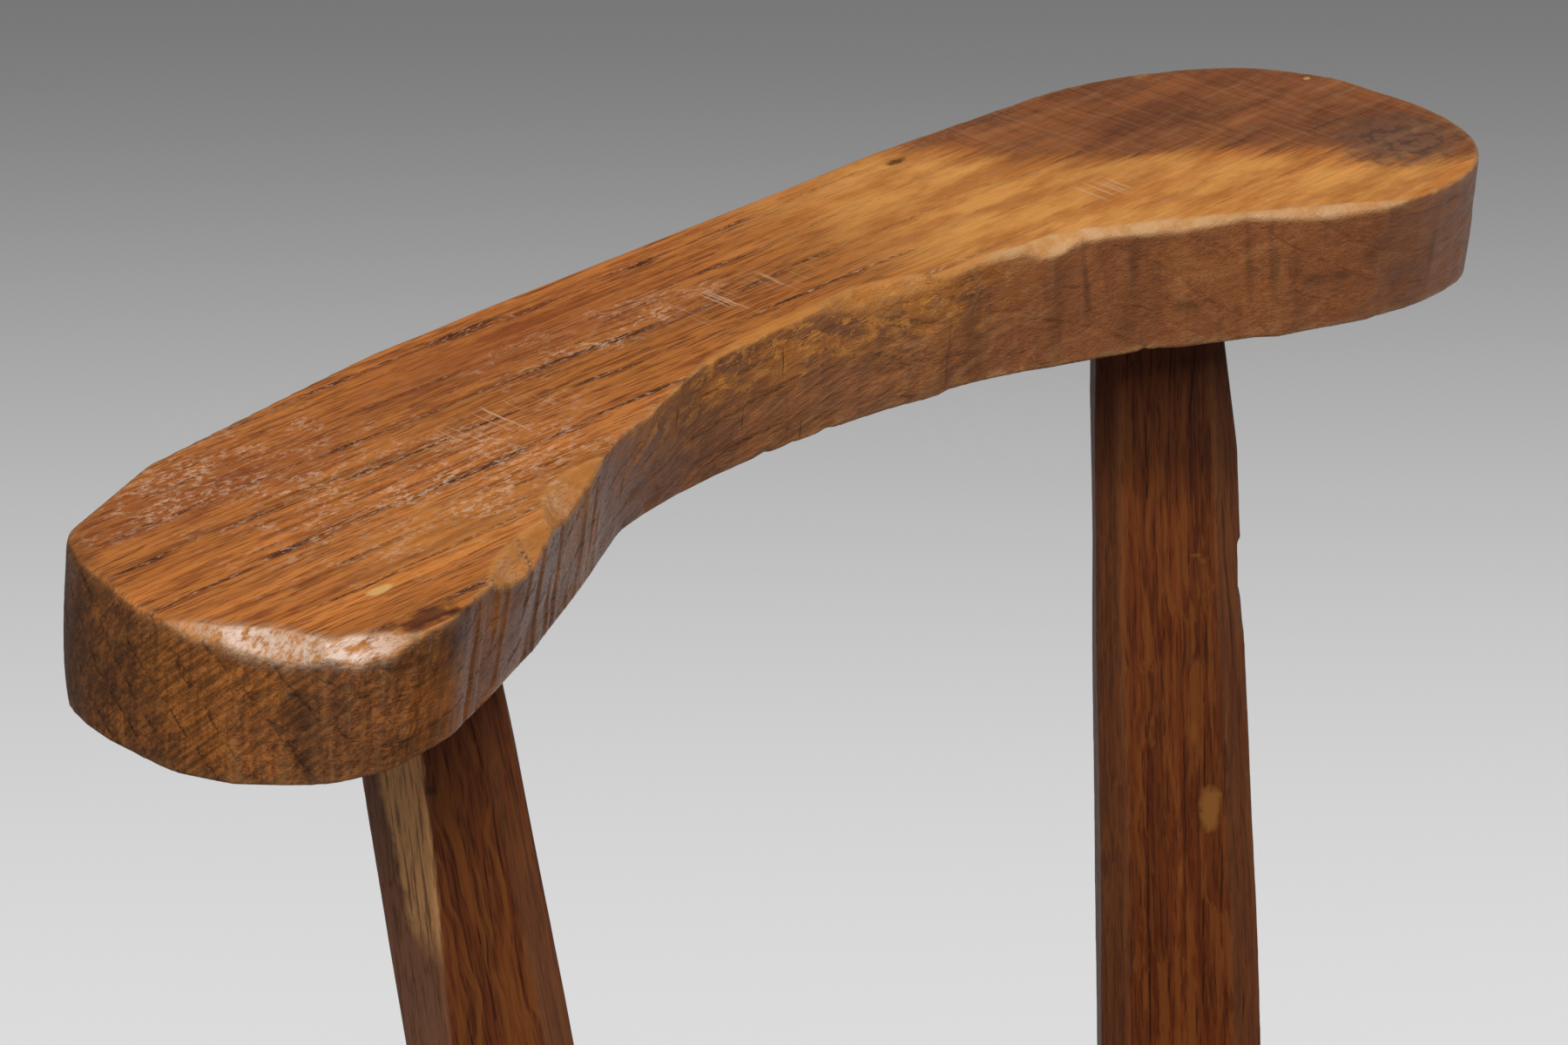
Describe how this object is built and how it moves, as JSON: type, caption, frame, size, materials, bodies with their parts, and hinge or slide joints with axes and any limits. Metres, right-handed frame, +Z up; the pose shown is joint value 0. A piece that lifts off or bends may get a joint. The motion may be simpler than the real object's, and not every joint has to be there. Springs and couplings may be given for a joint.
{
  "type": "wooden chair",
  "caption": "Hewn oak chair with a thick hollowed crest rail on two leaning faceted posts, a plank seat and raked, wedged legs.",
  "frame": {"origin": "on the floor, under the middle of the chair's box", "axes": "+Z up from the floor, -Y the way the sitter faces, +X to the right of a viewer who faces the chair's front"},
  "size_m": [0.52, 0.4928, 0.79],
  "materials": {
    "crest_oak": "waxed honey oak, satin",
    "post_oak": "waxed red-brown oak, satin",
    "seat_oak": "waxed honey oak, satin",
    "leg_oak": "waxed red-brown oak, satin",
    "wedge_oak": "pale oak end grain, dull",
    "dowel_beech": "raw beech, dull"
  },
  "bodies": {
    "root": {"crest_rail": "crest_oak", "back_post_left": "post_oak", "back_post_right": "post_oak", "crest_wedge_left": "wedge_oak", "crest_wedge_right": "wedge_oak", "post_wedge_left": "wedge_oak", "post_wedge_right": "wedge_oak", "seat_board_left": "seat_oak", "seat_board_middle": "seat_oak", "seat_board_right": "seat_oak", "seat_dowel_left_1": "dowel_beech", "seat_dowel_left_2": "dowel_beech", "seat_dowel_left_3": "dowel_beech", "seat_dowel_right_1": "dowel_beech", "seat_dowel_right_2": "dowel_beech", "seat_dowel_right_3": "dowel_beech", "leg_front_left": "leg_oak", "leg_front_right": "leg_oak", "leg_rear_left": "leg_oak", "leg_rear_right": "leg_oak", "leg_wedge_front_left": "wedge_oak", "leg_wedge_front_right": "wedge_oak", "leg_wedge_rear_left": "wedge_oak", "leg_wedge_rear_right": "wedge_oak"}
  },
  "joints": []
}
